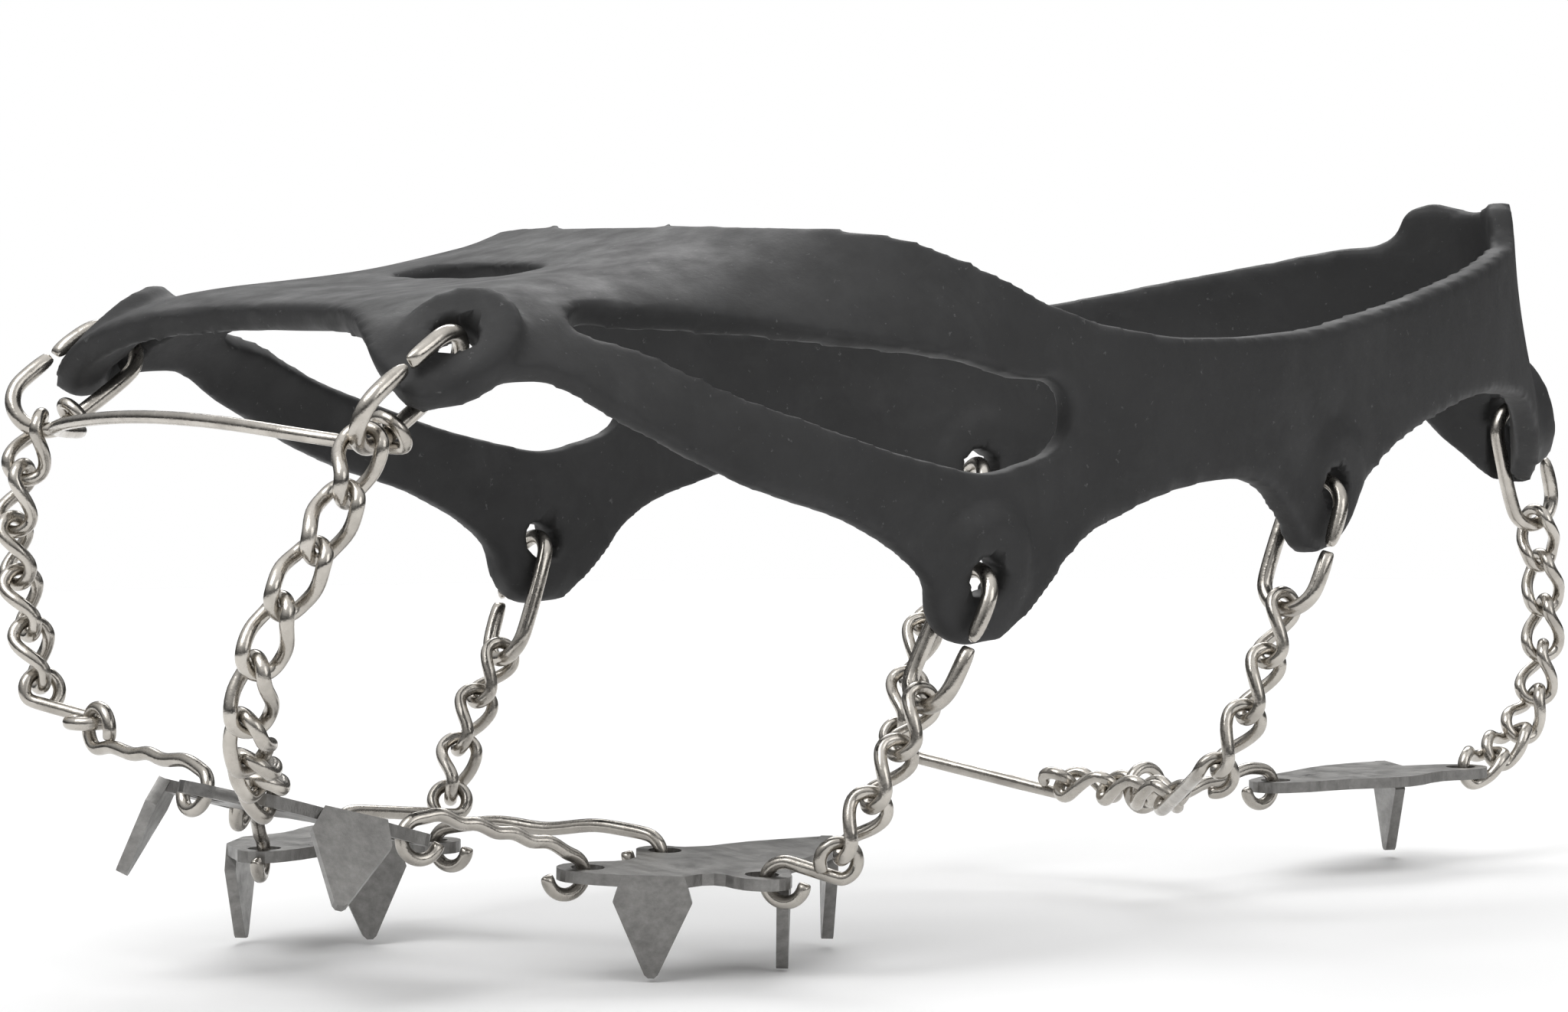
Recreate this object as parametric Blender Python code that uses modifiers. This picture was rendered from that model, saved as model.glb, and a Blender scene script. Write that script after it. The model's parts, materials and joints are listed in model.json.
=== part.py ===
"""Microspikes as they are worn: a moulded elastic harness with seven eyelets, chains, hooked wires and four
stamped spike plates. The toe points along -Y, up is +Z, and the wearer's left side is +X.
Sizes are in millimetres and are turned into metres when a piece is made. Routes are written with y counted
from the tip of the shoe and z from the tips of the spikes; the origin is under the arch, on the shoe's sole."""

import math

import bmesh
import bpy
from mathutils import Matrix, Vector

MM = 0.001
SEAT_Y, SEAT_Z = 145.0, 15.0        # where the origin lies on the sole

# The shoe that the harness is stretched over
SHOE_TIP_Y = 15.0                   # front end of the upper
SHOE_HEEL_Y = 268.0                 # back end of the upper
WIDEST_Y = 125.0
HALF_WIDTH = 51.5                   # at the ball of the foot
WIDEST_Z = 45.0
TOP_LINE = [(15, 60), (35, 72.5), (47, 80.8), (55, 84.6), (63, 86.0), (72, 86.6), (80, 87.4), (90, 90.0),
            (100, 92.8), (110, 94.6), (122, 102), (145, 120), (180, 150), (274, 150)]
TOE_POWER, HEEL_POWER, SECTION_POWER = 2.6, 1.7, 4.0

# Harness
BAND_THICK = 4.0
BOSS_THICK = 5.6
BOSS_HALF_WIDTH = 7.4
BOSS_HALF_LENGTH = 9.6
EYELET_RADIUS = 2.7
LINK_ROOM_HALF = 2.6                # room cut in the band for an eyelet link's legs
LINK_ROOM_REACH = 13.0
LINK_ROOM_DROP = 7.0
LINK_ROOM_DEEP = 6.0
BOSS_SINK = 2.6                     # middle of the boss above the band's inner face
PULL_LENGTH, PULL_WIDTH = 16.0, 16.0  # how far round a boss the band is drawn off the shoe
PULL_TIP = 5.0                      # the band stands furthest off this far beyond the boss
PATTERN_STEP = 10.0
SNAP = 1.0                          # a cut passes through a corner of the pattern that is this near

# Wire, chain and clearances
CHAIN_WIRE = 2.0
CHAIN_WIDTH = 5.5                   # between the middles of a link's two legs
LINK_TWIST = math.radians(90)
QUARTER = math.radians(45)
EYELET_WIRE = 2.4
EYELET_LINK_WIDTH = 9.0
EYELET_LINK_REACH = 17.4            # from the eyelet to the first chain link
EYELET_LINK_GAP = 0.5               # the butt joint in its outer leg
HOOK_WIRE = 2.0
HOOK_RADIUS = 2.8
EYE_RADIUS = 2.6
EYE_TURN = math.radians(290)
BAIL_WIRE = 1.8
BAIL_EYE_RADIUS = 2.6
BAIL_DROP = 12.9                    # from the boss to the bail's eye
GAP = 0.45
LINK_SLACK = 1.0                    # a link's play in a lobe's hole

# Stamped plates
PLATE_THICK = 1.6
LOBE_HOLE = 2.3                     # radius
LOBE_RIM = 1.8
SPIKE_WIDTH = 10.4
SPIKE_NECK = 8.2
SPIKE_SHOULDER = 3.6
SPIKE_LENGTH = 13.6                 # from the top of the plate to the tip
SPIKE_TIP_RADIUS = 0.9

RUBBER = ("rubber_charcoal", (0.026, 0.026, 0.027, 1), 0.72, 0.0)
WIRE = ("wire_nickel", (0.62, 0.59, 0.55, 1), 0.2, 1.0)
PLATE = ("plate_steel", (0.42, 0.41, 0.40, 1), 0.34, 1.0)


def clear_scene():
    for thing in list(bpy.data.objects):
        bpy.data.objects.remove(thing, do_unlink=True)


def new_collection(name):
    group = bpy.data.collections.new(name)
    bpy.context.scene.collection.children.link(group)
    return group


def material(spec):
    name, colour, rough, metal = spec
    mat = bpy.data.materials.get(name)
    if mat is None:
        mat = bpy.data.materials.new(name)
        mat.use_nodes = True
        shader = mat.node_tree.nodes["Principled BSDF"]
        shader.inputs["Base Color"].default_value = colour
        shader.inputs["Roughness"].default_value = rough
        shader.inputs["Metallic"].default_value = metal
        mat.diffuse_color = colour
    return mat


clear_scene()
PARTS = new_collection("Microspikes")
CUTTERS = new_collection("Microspikes_cutters")


def spot(x, y, z):
    """A place on the object, in millimetres about the origin."""
    return Vector((x, y - SEAT_Y, z - SEAT_Z))


def link_object(name, data, frame, spec, group=PARTS):
    thing = bpy.data.objects.new(name, data)
    group.objects.link(thing)
    where = frame.copy()
    where.translation = frame.translation * MM
    thing.matrix_world = where
    if spec:
        data.materials.append(material(spec))
    if group is CUTTERS:
        thing.hide_render = True
        thing.display_type = "WIRE"
    return thing


def frame_at(origin, across, along):
    """Local Y runs along, local X as near to across as it can, local Z is what is left."""
    y = along.normalized()
    x = (across - across.dot(y) * y).normalized()
    z = x.cross(y)
    m = Matrix((x, y, z)).transposed().to_4x4()
    m.translation = origin
    return m


def wire_object(name, points, wire, frame, spec=WIRE, closed=False):
    """A round wire through local points."""
    curve = bpy.data.curves.new(name, "CURVE")
    curve.dimensions = "3D"
    curve.bevel_depth = wire / 2 * MM
    curve.bevel_resolution = 1
    curve.use_fill_caps = not closed
    spline = curve.splines.new("POLY")
    spline.points.add(len(points) - 1)
    for place, p in zip(spline.points, points):
        place.co = (p.x * MM, p.y * MM, p.z * MM, 1)
    spline.use_cyclic_u = closed
    return link_object(name, curve, frame, spec)


def world_wire(name, points, wire, origin, far, spec=WIRE):
    """A wire through points given on the object; it turns about the line from its origin to its far contact."""
    along = far - origin
    frame = frame_at(origin, along.cross(Vector((0, 0, 1))), along)
    back = frame.inverted()
    return wire_object(name, [back @ p for p in points], wire, frame, spec)


# ---------------------------------------------------------------- the shoe's shape, which the harness follows
def between(table, at):
    for (a, va), (b, vb) in zip(table, table[1:]):
        if at <= b:
            t = max(0.0, (at - a) / (b - a))
            return va + (vb - va) * t
    return table[-1][1]


def shoe_half_width(y):
    if y < WIDEST_Y:
        q, power = (WIDEST_Y - y) / (WIDEST_Y - SHOE_TIP_Y), TOE_POWER
    else:
        q, power = (y - WIDEST_Y) / (SHOE_HEEL_Y - WIDEST_Y), HEEL_POWER
    return HALF_WIDTH * (1 - min(q, 1.0) ** power) ** (1 / power)


def shoe_top(y):
    return sum(between(TOP_LINE, y + d) for d in (-8, -4, 0, 4, 8)) / 5


def outside(x, y, z):
    half = shoe_half_width(y)
    if half < 0.01:
        return True
    rise = abs(z - WIDEST_Z) / (shoe_top(y) - WIDEST_Z)
    return (abs(x) / half) ** SECTION_POWER + rise ** SECTION_POWER > 1


def side_x(y, z):
    rise = abs(z - WIDEST_Z) / (shoe_top(y) - WIDEST_Z)
    return shoe_half_width(y) * max(0.0, 1 - rise ** SECTION_POWER) ** (1 / SECTION_POWER)


def top_z(x, y):
    rise = max(0.0, 1 - (abs(x) / shoe_half_width(y)) ** SECTION_POWER) ** (1 / SECTION_POWER)
    return WIDEST_Z + (shoe_top(y) - WIDEST_Z) * rise


BOSSES = {"fl": (42.5, 54.7, 83.3), "fr": (-42.5, 54.7, 83.3), "ml": (52.8, 128.5, 52.2), "mr": (-52.8, 128.5, 52.2),
          "rl": (39.4, 201.5, 61.2), "rr": (-39.4, 201.5, 61.2), "heel": (0, 277.8, 69.0)}
PULLS = []
CENTRE = Vector((0, 140.0, WIDEST_Z))
SPREAD = 1.3                        # pattern millimetres for each degree away from straight up


def to_pattern(x, y, z):
    """The flat pattern's point that looks from the middle of the shoe towards a place."""
    d = Vector((x, y, z)) - CENTRE
    away = 90 - math.degrees(math.atan2(d.z, math.hypot(d.x, d.y)))
    turn = math.atan2(d.x, -d.y)
    return Vector((SPREAD * away * math.sin(turn), -SPREAD * away * math.cos(turn)))


def from_pattern(u, v):
    away = math.radians(math.hypot(u, v) / SPREAD)
    turn = math.atan2(u, -v)
    ray = Vector((math.sin(away) * math.sin(turn), -math.sin(away) * math.cos(turn), math.cos(away)))
    near, far = 5.0, 200.0
    for _ in range(40):
        mid = (near + far) / 2
        if outside(*(CENTRE + ray * mid)):
            far = mid
        else:
            near = mid
    return CENTRE + ray * (near + drawn_off(u, v))


def drawn_off(u, v):
    """How far the bosses draw the band off the shoe at a point of the pattern."""
    total = 0.0
    for boss, amount, scale in PULLS:
        away = boss.length
        along = ((u * boss.x + v * boss.y) / away - away) / scale - PULL_TIP
        across = (u * boss.y - v * boss.x) / away / scale
        total += amount * math.exp(-(along / PULL_LENGTH) ** 2 / 2 - (across / PULL_WIDTH) ** 2 / 2)
    return total


def surface_frame(u, v):
    """A place on the band and the way out of it."""
    here = from_pattern(u, v)
    d = 1.2
    du = from_pattern(u + d, v) - from_pattern(u - d, v)
    dv = from_pattern(u, v + d) - from_pattern(u, v - d)
    out = du.cross(dv).normalized()
    if out.dot(here - CENTRE) < 0:
        out.negate()
    return here, out


def on_side(y, z):
    return to_pattern(side_x(y, z), y, z)


def on_top(x, y):
    return to_pattern(x, y, top_z(x, y))


def on_heel(x, z):
    """The back of the heel at a distance x from the middle."""
    near, far = WIDEST_Y, SHOE_HEEL_Y
    for _ in range(30):
        mid = (near + far) / 2
        if side_x(mid, z) > abs(x):
            near = mid
        else:
            far = mid
    return to_pattern(x, near, z)


def mirrored(points):
    return [Vector((-p.x, p.y)) for p in reversed(points)]


# The left half of each outline, from the toe round to the heel
LOWER_EDGE = [to_pattern(*p) for p in (
    (0, 55, 85.6), (18, 53, 85.0), (33, 47.6, 82.2), (39.5, 46.0, 78.6), (43, 51, 74.5), (43.6, 60, 76.5),
    (44.5, 67, 77.2), (47, 76, 72.6), (50, 92, 65.0), (51.5, 109, 59.2), (52, 118, 53.5), (52.5, 122.5, 47.5),
    (53, 129.5, 43.2), (52.5, 137, 47.5), (51, 145, 55.5), (49, 156, 60.0), (46, 169, 62.4), (42, 183, 61.2),
    (40.3, 191, 57.0), (39.4, 199.5, 51.8), (38, 208, 57.5), (35, 213.5, 64.2), (28, 228.5, 70.0),
    (18, 247, 71.2), (11, 261, 69.4), (7, 272, 63.5), (0, 281, 58.6))]
UPPER_EDGE = [to_pattern(*p) for p in (
    (0, 107, 97), (16, 107.5, 97), (30, 111, 96), (41, 122, 94), (47.5, 134, 90), (49, 145, 86), (47.5, 157, 82.9),
    (45, 171, 81.4), (40, 188, 81.2), (36, 201, 82.5), (28, 226, 87), (15, 252, 92.6), (10.5, 260, 95.2),
    (9, 264.5, 100.6), (0, 273, 102.0))]
SIDE_OPENING = [to_pattern(*p) for p in (
    (41, 71.0, 84.6), (43, 81, 86.6), (46, 91, 86.4), (49, 110, 83.2), (51, 133, 78.8), (51, 144, 73.6),
    (52, 134, 66.8), (52, 121, 67.6), (50, 98, 73.8), (46, 79, 80.6))]
TOP_SLOT = [to_pattern(x, y, z) for x, y, z in ((0, 79.2, 89.4), (9, 79.6, 89.3), (15.6, 83.4, 89.4), (9, 87.4, 90.4),
                                                (0, 88.0, 90.8))]


def smooth_outline(curve, points):
    spline = curve.splines.new("BEZIER")
    spline.bezier_points.add(len(points) - 1)
    for knot, p in zip(spline.bezier_points, points):
        knot.co = (p.x, p.y, 0)
        knot.handle_left_type = knot.handle_right_type = "AUTO"
    spline.use_cyclic_u = True


def flat_pattern():
    """The harness laid flat: one ring with its openings, cut into small faces so that it can bend."""
    curve = bpy.data.curves.new("harness_pattern", "CURVE")
    curve.dimensions, curve.fill_mode, curve.resolution_u = "2D", "BOTH", 2
    smooth_outline(curve, LOWER_EDGE + mirrored(LOWER_EDGE)[1:-1])
    smooth_outline(curve, UPPER_EDGE + mirrored(UPPER_EDGE)[1:-1])
    smooth_outline(curve, SIDE_OPENING)
    smooth_outline(curve, mirrored(SIDE_OPENING))
    smooth_outline(curve, TOP_SLOT + mirrored(TOP_SLOT)[1:-1])
    flat = link_object("harness_pattern", curve, Matrix.Identity(4), None, CUTTERS)
    mesh = bpy.data.meshes.new_from_object(flat.evaluated_get(bpy.context.evaluated_depsgraph_get()))
    bpy.data.objects.remove(flat, do_unlink=True)
    return mesh


def cut_into_strips(bm):
    reach = 170.0
    for way in (Vector((1, 0, 0)), Vector((0, 1, 0))):
        at = -reach
        while at < reach:
            bmesh.ops.bisect_plane(bm, geom=bm.verts[:] + bm.edges[:] + bm.faces[:], dist=SNAP, plane_co=way * at,
                                   plane_no=way)
            at += PATTERN_STEP
    bmesh.ops.remove_doubles(bm, verts=bm.verts[:], dist=SNAP * 0.6)
    bmesh.ops.dissolve_degenerate(bm, edges=bm.edges[:], dist=0.05)


def boolean(target, tool, operation):
    step = target.modifiers.new("join", "BOOLEAN")
    step.operation, step.solver, step.object = operation, "EXACT", tool
    step.use_hole_tolerant = True
    mesh = bpy.data.meshes.new_from_object(target.evaluated_get(bpy.context.evaluated_depsgraph_get()))
    target.modifiers.clear()
    target.data = mesh


def apply_modifiers(target):
    mesh = bpy.data.meshes.new_from_object(target.evaluated_get(bpy.context.evaluated_depsgraph_get()))
    target.modifiers.clear()
    target.data = mesh


def oval_pad(name, frame, half_width, half_length, thick, rounding=0.0):
    bpy.ops.mesh.primitive_cylinder_add(vertices=20, radius=1, depth=1)
    pad = bpy.context.object
    pad.name = name
    for v in pad.data.vertices:
        v.co = Vector((v.co.x * half_width, v.co.y * half_length, v.co.z * thick)) * MM
    for group in pad.users_collection:
        group.objects.unlink(pad)
    CUTTERS.objects.link(pad)
    pad.hide_render, pad.display_type = True, "WIRE"
    where = frame.copy()
    where.translation = frame.translation * MM
    pad.matrix_world = where
    if rounding:
        edge = pad.modifiers.new("edge", "BEVEL")
        edge.width, edge.segments, edge.limit_method = rounding * MM, 2, "ANGLE"
    bpy.context.view_layer.update()
    return pad


# ---------------------------------------------------------------- eyelets
# Where each chain starts to hang
FIRST_LINKS = {
    "fl": spot(43.6, 41.4, 74.0), "fr": spot(-43.6, 41.4, 74.0), "ml": spot(50.5, 121.6, 36.6),
    "mr": spot(-50.5, 121.6, 36.6), "rl": spot(39.0, 194.2, 43.2), "rr": spot(-39.0, 194.2, 43.2),
    "heel": spot(0, 283.5, 50.2),
}


def set_pulls():
    """The band is drawn off the shoe until its bosses are where the chains hold them."""
    for boss in BOSSES.values():
        place = to_pattern(*boss)
        away = (Vector(boss) - CENTRE).length
        amount = away - BOSS_SINK - (from_pattern(place.x, place.y) - CENTRE).length
        PULLS.append((place, amount * math.exp((PULL_TIP / PULL_LENGTH) ** 2 / 2), SPREAD * math.degrees(1) / away))


def eyelet(name):
    """The boss's frame: local Y towards the chain, local Z out of the boss, and its chain's first contact."""
    place = to_pattern(*BOSSES[name])
    _, out = surface_frame(place.x, place.y)
    here = spot(*BOSSES[name])
    along = (FIRST_LINKS[name] - here).normalized()
    out = (out - out.dot(along) * along).normalized()
    frame = frame_at(here, along.cross(out), along)
    return frame, here + along * EYELET_LINK_REACH


def hang_point(name, aim):
    """Where a chain that is pulled towards a place rests in the bottom bend of its eyelet link."""
    frame, _ = eyelet(name)
    half, play = EYELET_LINK_WIDTH / 2, (EYELET_WIRE + GAP) / 2
    bend = frame @ Vector((0, EYELET_LINK_REACH + play - half, 0))
    pull = frame.to_3x3().inverted() @ (aim - bend)
    pull = Vector((0, pull.y, pull.z)).normalized()
    return bend + frame.to_3x3() @ pull * (half - play)


def shell(flat, thick):
    """The band: each point of the flat pattern gives one place on the shoe and one outside it."""
    band = bmesh.new()
    near, far = {}, {}
    for v in flat.verts:
        here, out = surface_frame(v.co.x, v.co.y)
        near[v] = band.verts.new(spot(*here) * MM)
        far[v] = band.verts.new(spot(*(here + out * thick)) * MM)
    for face in flat.faces:
        band.faces.new([far[v] for v in face.verts])
        band.faces.new([near[v] for v in reversed(face.verts)])
    for edge in flat.edges:
        if edge.is_boundary:
            a, b = edge.verts
            band.faces.new((near[a], near[b], far[b], far[a]))
    bmesh.ops.recalc_face_normals(band, faces=band.faces[:])
    return band


def make_harness():
    mesh = flat_pattern()
    bm = bmesh.new()
    bm.from_mesh(mesh)
    cut_into_strips(bm)
    band = shell(bm, BAND_THICK)
    band.to_mesh(mesh)
    bm.free()
    band.free()
    harness = link_object("harness", mesh, Matrix.Identity(4), RUBBER)
    for name in BOSSES:
        frame, _ = eyelet(name)
        boolean(harness, oval_pad("boss_" + name, frame, BOSS_HALF_WIDTH, BOSS_HALF_LENGTH, BOSS_THICK, 1.2), "UNION")
        pieces = [oval_pad("hole_" + name, frame, EYELET_RADIUS, EYELET_RADIUS, BOSS_THICK * 2)]
        for face in (-1, 1):
            room = frame @ Matrix.Translation((0, LINK_ROOM_DROP, face * (BOSS_THICK + LINK_ROOM_DEEP) / 2))
            pieces.append(oval_pad("pocket_" + name, room, LINK_ROOM_HALF, LINK_ROOM_REACH, LINK_ROOM_DEEP))
        boolean(pieces[0], pieces[1], "UNION")
        boolean(pieces[0], pieces[2], "UNION")
        boolean(harness, pieces[0], "DIFFERENCE")
    return harness


# ---------------------------------------------------------------- links
def oval_path(length, width, twist, steps=5, start=0.0):
    """The middle line of an oval link: local Y along it, twisted about Y from one end to the other."""
    half = width / 2
    straight = (length - width) / 2
    path = []
    for end, lo in ((-1, 0.0), (1, math.pi)):
        for k in range(steps + 1):
            a = lo + math.pi * k / steps
            path.append((half * math.cos(a), end * straight + (-math.sin(a)) * half))
        path.append((half * math.cos(lo + math.pi), 0.0))
    out = []
    for x, y in path:
        share = max(-1.0, min(1.0, y / straight)) if straight > 0.01 else 0.0
        turn = twist / 2 * share
        out.append(Vector((x * math.cos(turn), y, x * math.sin(turn))))
    return out


def end_way(start, end, out, roll, which):
    """The way a link's wire runs across its first (-1) or second (1) end."""
    along = end - start
    frame = frame_at(start, along.cross(out), along)
    turned = frame @ Matrix.Rotation(-roll - which * LINK_TWIST / 2, 4, "Y")
    return turned.to_3x3().col[0].copy()


def chain_link(name, start, end, out, roll=0.0):
    """A twisted link between two contacts, its origin at the first."""
    along = end - start
    pitch = along.length
    frame = frame_at(start, along.cross(out), along)
    frame = frame @ Matrix.Rotation(-roll, 4, "Y")
    length = pitch + CHAIN_WIRE + GAP
    points = [p + Vector((0, pitch / 2, 0)) for p in oval_path(length, CHAIN_WIDTH, LINK_TWIST)]
    return wire_object(name, points, CHAIN_WIRE, frame, closed=True)


def eyelet_link(name):
    """The large open link: its plane stands out from the boss, one leg in front of it and one behind."""
    frame, contact = eyelet(name)
    reach = (contact - frame.translation).length
    first = -0.9                            # middle of the top bend, a little above the eyelet's middle
    last = reach + (EYELET_WIRE + GAP) / 2
    half = EYELET_LINK_WIDTH / 2
    y0, y1 = first + half, last - half
    gap_y = (y0 + y1) / 2
    points = [Vector((0, gap_y + EYELET_LINK_GAP / 2, half))]
    points += [Vector((0, y1 + half * math.sin(a), half * math.cos(a)))
               for a in [math.pi * k / 7 for k in range(8)]]
    points += [Vector((0, y0 - half * math.sin(a), -half * math.cos(a)))
               for a in [math.pi * k / 7 for k in range(8)]]
    points.append(Vector((0, gap_y - EYELET_LINK_GAP / 2, half)))
    return wire_object("eyelet_link_" + name, points, EYELET_WIRE, frame)


def smooth_route(points, steps=24):
    """A Catmull-Rom line through the points."""
    ends = [points[0] * 2 - points[1]] + points + [points[-1] * 2 - points[-2]]
    line = []
    for a, b, c, d in zip(ends, ends[1:], ends[2:], ends[3:]):
        for k in range(steps):
            t = k / steps
            line.append(0.5 * ((2 * b) + (c - a) * t + (2 * a - 5 * b + 4 * c - d) * t * t
                               + (3 * b - a - 3 * c + d) * t ** 3))
    line.append(points[-1])
    return line


def walk(line, step, count):
    """Steps of one length along a line; returns the places and how far past the end the walk ran."""
    places, at, k = [line[0]], line[0], 0
    for _ in range(count):
        while k < len(line) - 1 and (line[k + 1] - at).length < step:
            k += 1
        if k >= len(line) - 1:
            way = (line[-1] - line[-2]).normalized()
            at = at + way * step
        else:
            lo, hi = 0.0, 1.0
            for _ in range(24):
                mid = (lo + hi) / 2
                if (line[k].lerp(line[k + 1], mid) - at).length < step:
                    lo = mid
                else:
                    hi = mid
            at = line[k].lerp(line[k + 1], lo)
        places.append(at)
    return places


def stations(points, count):
    """The contacts of a taut chain of count equal links that ends at the last point."""
    line = smooth_route(points)
    lo = 1.0
    hi = sum((b - a).length for a, b in zip(line, line[1:])) / count * 1.02
    for _ in range(40):
        mid = (lo + hi) / 2
        end = walk(line, mid, count)[-1]
        if (end - line[-1]).dot((line[-1] - line[-2]).normalized()) < 0:
            lo = mid
        else:
            hi = mid
    places = walk(line, lo, count)
    places[-1] = line[-1]
    return places


def chain_roll(k, count, last_roll):
    """Links leave the eyelet link edge on and lie flat after a few; the last ones turn to what they hook on."""
    first = QUARTER * max(0.0, 1 - k / 3)
    last = last_roll * max(0.0, 1 - (count - 1 - k) / 3)
    return first if abs(first) > abs(last) else last


def square_to(name, route):
    """The outward side of a first link that stands square to its eyelet link."""
    frame, _ = eyelet(name)
    return frame.to_3x3().col[0].cross((route[1] - route[0]).normalized())


def make_chain(name, route, count, out_start, out_end, last_roll=0.0):
    """A chain of taut links; returns its last contact, the way it runs there and how its last wire lies."""
    places = stations(route, count)
    for k in range(count):
        out = out_start.lerp(out_end, (k + 0.5) / count)
        roll = chain_roll(k, count, last_roll)
        chain_link(f"{name}_{k + 1}", places[k], places[k + 1], out, roll)
    along = (places[-1] - places[-2]).normalized()
    return places[-1], along, end_way(places[-2], places[-1], out, roll, 1)


# ---------------------------------------------------------------- plates
class Plate:
    """A flat stamping with lobes for hooks and spikes folded down from its edge."""

    def __init__(self, name, centre, tilt, outline):
        self.name, self.outline = name, outline
        self.frame = Matrix.Translation(centre) @ Matrix.Rotation(tilt[0], 4, "X") @ Matrix.Rotation(tilt[1], 4, "Y")

    def place(self, x, y, z=0.0):
        return self.frame @ Vector((x, y, z))

    def way(self, x, y, z=0.0):
        return (self.frame.to_3x3() @ Vector((x, y, z))).normalized()

    def lobe(self, key):
        for item in self.outline:
            if item[0] == key:
                return Vector((item[1], item[2]))
        raise KeyError(key)

    def rim(self, key, toward):
        """The middle of a lobe's rim on the side of a direction, and that direction on the plate."""
        hole = self.lobe(key)
        local = self.frame.to_3x3().inverted() @ toward
        side = Vector((local.x, local.y)).normalized()
        at = hole + side * (LOBE_HOLE + LOBE_RIM / 2)
        return self.place(at.x, at.y), self.way(side.x, side.y)

    def build(self):
        curve = bpy.data.curves.new(self.name, "CURVE")
        curve.dimensions, curve.fill_mode, curve.resolution_u = "2D", "BOTH", 3
        curve.extrude = PLATE_THICK / 2 * MM
        self.add_outline(curve)
        for item in self.outline:
            if item[0].startswith("lobe"):
                self.add_circle(curve, item[1], item[2], LOBE_HOLE)
        flat = link_object(self.name + "_outline", curve, self.frame, None, CUTTERS)
        bpy.context.view_layer.update()
        mesh = bpy.data.meshes.new_from_object(flat.evaluated_get(bpy.context.evaluated_depsgraph_get()))
        bpy.data.objects.remove(flat, do_unlink=True)
        bm = bmesh.new()
        bm.from_mesh(mesh)
        bmesh.ops.remove_doubles(bm, verts=bm.verts[:], dist=0.00001)
        bmesh.ops.recalc_face_normals(bm, faces=bm.faces[:])
        bm.to_mesh(mesh)
        bm.free()
        plate = link_object(self.name, mesh, self.frame, PLATE)
        bpy.context.view_layer.update()
        for item in self.outline:
            if item[0].startswith("spike"):
                boolean(plate, self.spike(*item[1:]), "UNION")
        return plate

    def add_outline(self, curve):
        knots = []
        for item in self.outline:
            if item[0].startswith("lobe"):
                _, x, y = item[:3]
                turn = item[3]
                reach = LOBE_HOLE + LOBE_RIM
                for a in (-75, -25, 25, 75):
                    b = turn + math.radians(a)
                    knots.append((x + reach * math.cos(b), y + reach * math.sin(b), "AUTO"))
            elif item[0].startswith("spike"):
                _, x, y, turn = item[:4]
                for s in (-1, 1):
                    knots.append((x - s * SPIKE_NECK / 2 * math.sin(turn), y + s * SPIKE_NECK / 2 * math.cos(turn),
                                  "VECTOR"))
            else:
                knots.append((item[1], item[2], "AUTO"))
        spline = curve.splines.new("BEZIER")
        spline.bezier_points.add(len(knots) - 1)
        for knot, (x, y, kind) in zip(spline.bezier_points, knots):
            knot.co = (x * MM, y * MM, 0)
            knot.handle_left_type = knot.handle_right_type = kind
        spline.use_cyclic_u = True

    def add_circle(self, curve, x, y, radius):
        spline = curve.splines.new("BEZIER")
        spline.bezier_points.add(3)
        for k, knot in enumerate(spline.bezier_points):
            a = math.pi / 2 * k
            knot.co = ((x + radius * math.cos(a)) * MM, (y + radius * math.sin(a)) * MM, 0)
            knot.handle_left_type = knot.handle_right_type = "AUTO"
        spline.use_cyclic_u = True

    def spike(self, x, y, turn, lean=0.0):
        """A triangular tooth with a blunt tip, folded down at the outline's edge."""
        w, neck, tip = SPIKE_WIDTH / 2, SPIKE_NECK / 2, SPIKE_TIP_RADIUS
        top = PLATE_THICK
        corners = [(-neck, 0), (neck, 0), (w, -SPIKE_SHOULDER), (tip, 0.5 * tip - SPIKE_LENGTH),
                   (0.45 * tip, -SPIKE_LENGTH), (-0.45 * tip, -SPIKE_LENGTH), (-tip, 0.5 * tip - SPIKE_LENGTH),
                   (-w, -SPIKE_SHOULDER)]
        bm = bmesh.new()
        verts = [bm.verts.new((a * MM, b * MM, -PLATE_THICK / 2 * MM)) for a, b in corners]
        face = bm.faces.new(verts)
        grown = bmesh.ops.extrude_face_region(bm, geom=[face])
        moved = [v for v in grown["geom"] if isinstance(v, bmesh.types.BMVert)]
        bmesh.ops.translate(bm, verts=moved, vec=(0, 0, PLATE_THICK * MM))
        bmesh.ops.recalc_face_normals(bm, faces=bm.faces[:])
        mesh = bpy.data.meshes.new(self.name + "_spike")
        bm.to_mesh(mesh)
        bm.free()
        out = self.way(math.cos(turn), math.sin(turn))
        up = self.way(0, 0, 1)
        at = self.place(x, y) - out * (PLATE_THICK / 2 - 0.02) + up * (top / 2 - 0.01)
        down = Matrix.Rotation(-lean, 3, up.cross(out)) @ up
        frame = frame_at(at, down.cross(out), down)
        tooth = link_object(self.name + "_spike", mesh, frame, None, CUTTERS)
        bpy.context.view_layer.update()
        return tooth


def turn_of(x, y):
    return math.atan2(y, x)


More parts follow.
